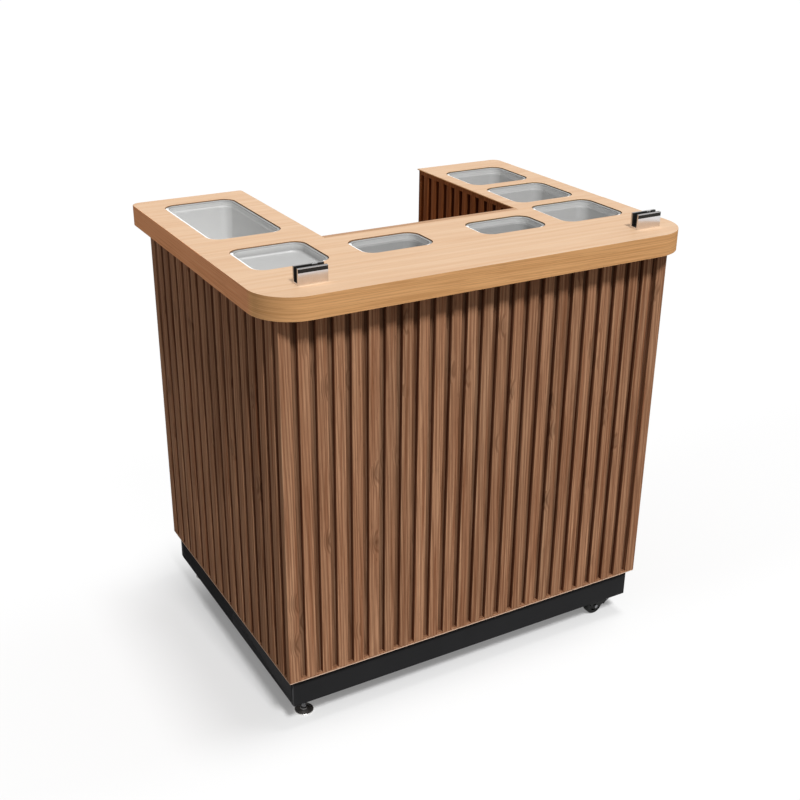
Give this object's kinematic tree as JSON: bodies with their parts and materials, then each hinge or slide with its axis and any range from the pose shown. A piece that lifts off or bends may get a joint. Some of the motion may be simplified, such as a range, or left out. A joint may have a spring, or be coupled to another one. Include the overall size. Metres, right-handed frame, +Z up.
{
  "type": "crepe station",
  "caption": "Free-standing U-shaped serving counter for crepes: light wood top with drop-in steel pans, fluted dark wood casing, black plinth, levelling feet and castors.",
  "frame": {"origin": "on the floor, under the middle of the worktop's outline", "axes": "+Z up; -Y towards the guests, square to the front casing; +Y towards the operator's open bay; +X to the guests' right"},
  "size_m": [1.07, 0.82, 1.095],
  "materials": {
    "oak_top": "satin oiled light oak",
    "walnut_casing": "satin walnut, vertical grain",
    "walnut_inside": "satin walnut board",
    "birch_ply": "unfinished ply",
    "black_plinth": "matte charcoal laminate",
    "pan_steel": "satin drawn stainless steel",
    "clamp_chrome": "polished",
    "clamp_rubber": "matte black",
    "screw_steel": "bright zinc",
    "foot_chrome": "polished",
    "castor_black": "satin black",
    "wheel_hub": "moulded black",
    "wheel_tyre": "matte black"
  },
  "bodies": {
    "counter": {"worktop_front": "oak_top", "worktop_left": "oak_top", "worktop_right": "oak_top", "cladding_front": "walnut_casing", "cladding_left": "walnut_casing", "cladding_right": "walnut_casing", "cladding_rear": "walnut_casing", "corner_posts": "walnut_casing", "lining_left": "walnut_casing", "lining_right": "walnut_casing", "lining_front": "walnut_casing", "carcass_front": "birch_ply", "carcass_left": "birch_ply", "carcass_right": "birch_ply", "carcass_ends": "birch_ply", "partition_left": "walnut_inside", "partition_right": "walnut_inside", "bay_back": "birch_ply", "bay_deck": "walnut_inside", "bottom_deck": "walnut_inside", "storage_shelf": "walnut_inside", "shelf_pins": "screw_steel", "cleats": "birch_ply", "plinth_front": "black_plinth", "plinth_rear": "black_plinth", "plinth_left": "black_plinth", "plinth_right": "black_plinth", "clamp_left": "clamp_chrome", "clamp_right": "clamp_chrome", "clamp_gaskets": "clamp_rubber", "clamp_screws": "screw_steel", "foot_blocks": "birch_ply", "foot_inserts": "screw_steel", "castor_blocks": "birch_ply", "castor_screws": "screw_steel", "castor_plate_front": "castor_black", "castor_plate_rear": "castor_black"},
    "third_pan": {"pan_third": "pan_steel"},
    "tray_pan": {"pan_tray": "pan_steel"},
    "ninth_left_pan": {"pan_ninth_left": "pan_steel"},
    "ninth_right_pan": {"pan_ninth_right": "pan_steel"},
    "sixth_front_pan": {"pan_sixth_front": "pan_steel"},
    "sixth_middle_pan": {"pan_sixth_middle": "pan_steel"},
    "sixth_rear_pan": {"pan_sixth_rear": "pan_steel"},
    "castor_front": {"castor_fork_front": "castor_black", "castor_pins_front": "screw_steel"},
    "wheel_front": {"castor_hub_front": "wheel_hub", "castor_tyre_front": "wheel_tyre"},
    "brake_front": {"castor_lever_front": "castor_black"},
    "foot_front": {"foot_pad_front": "foot_chrome"},
    "stem_front": {"foot_stem_front": "foot_chrome"},
    "castor_rear": {"castor_fork_rear": "castor_black", "castor_pins_rear": "screw_steel"},
    "wheel_rear": {"castor_hub_rear": "wheel_hub", "castor_tyre_rear": "wheel_tyre"},
    "brake_rear": {"castor_lever_rear": "castor_black"},
    "foot_rear": {"foot_pad_rear": "foot_chrome"},
    "stem_rear": {"foot_stem_rear": "foot_chrome"},
    "press_left": {"clamp_press_left": "screw_steel"},
    "press_right": {"clamp_press_right": "screw_steel"}
  },
  "joints": [
    {"name": "third_pan_lift", "type": "slide", "parent": "counter", "child": "third_pan", "axis": [0, 0, 1], "range_m": [0, 0.2]},
    {"name": "tray_pan_lift", "type": "slide", "parent": "counter", "child": "tray_pan", "axis": [0, 0, 1], "range_m": [0, 0.08]},
    {"name": "ninth_left_pan_lift", "type": "slide", "parent": "counter", "child": "ninth_left_pan", "axis": [0, 0, 1], "range_m": [0, 0.12]},
    {"name": "ninth_right_pan_lift", "type": "slide", "parent": "counter", "child": "ninth_right_pan", "axis": [0, 0, 1], "range_m": [0, 0.12]},
    {"name": "sixth_front_pan_lift", "type": "slide", "parent": "counter", "child": "sixth_front_pan", "axis": [0, 0, 1], "range_m": [0, 0.15]},
    {"name": "sixth_middle_pan_lift", "type": "slide", "parent": "counter", "child": "sixth_middle_pan", "axis": [0, 0, 1], "range_m": [0, 0.15]},
    {"name": "sixth_rear_pan_lift", "type": "slide", "parent": "counter", "child": "sixth_rear_pan", "axis": [0, 0, 1], "range_m": [0, 0.15]},
    {"name": "castor_front_swivel", "type": "hinge", "parent": "counter", "child": "castor_front", "pos_m": [0.39, -0.317, 0.06], "axis": [0, 0, 1], "continuous": true},
    {"name": "wheel_front_roll", "type": "hinge", "parent": "castor_front", "child": "wheel_front", "pos_m": [0.41, -0.317, 0.025], "axis": [0, 1, 0], "continuous": true},
    {"name": "brake_front_press", "type": "hinge", "parent": "castor_front", "child": "brake_front", "pos_m": [0.448, -0.317, 0.038], "axis": [0, 1, 0], "range_deg": [0, 13]},
    {"name": "foot_front_level", "type": "slide", "parent": "counter", "child": "foot_front", "axis": [0, 0, 1], "range_m": [-0.006, 0.006]},
    {"name": "stem_front_turn", "type": "hinge", "parent": "foot_front", "child": "stem_front", "pos_m": [-0.437, -0.31, 0.009], "axis": [0, 0, 1], "range_deg": [-1440, 1440]},
    {"name": "castor_rear_swivel", "type": "hinge", "parent": "counter", "child": "castor_rear", "pos_m": [0.39, 0.349, 0.06], "axis": [0, 0, 1], "continuous": true},
    {"name": "wheel_rear_roll", "type": "hinge", "parent": "castor_rear", "child": "wheel_rear", "pos_m": [0.41, 0.349, 0.025], "axis": [0, 1, 0], "continuous": true},
    {"name": "brake_rear_press", "type": "hinge", "parent": "castor_rear", "child": "brake_rear", "pos_m": [0.448, 0.349, 0.038], "axis": [0, 1, 0], "range_deg": [0, 13]},
    {"name": "foot_rear_level", "type": "slide", "parent": "counter", "child": "foot_rear", "axis": [0, 0, 1], "range_m": [-0.006, 0.006]},
    {"name": "stem_rear_turn", "type": "hinge", "parent": "foot_rear", "child": "stem_rear", "pos_m": [-0.437, 0.342, 0.009], "axis": [0, 0, 1], "range_deg": [-1440, 1440]},
    {"name": "press_left_screw", "type": "slide", "parent": "counter", "child": "press_left", "axis": [0, -1, 0], "range_m": [0, 0.003]},
    {"name": "press_right_screw", "type": "slide", "parent": "counter", "child": "press_right", "axis": [0, -1, 0], "range_m": [0, 0.003]}
  ],
  "couplings": [
    {"joint": "stem_front_turn", "follows": "foot_front_level", "rad_per_m": 4188.8},
    {"joint": "stem_rear_turn", "follows": "foot_rear_level", "rad_per_m": 4188.8}
  ]
}
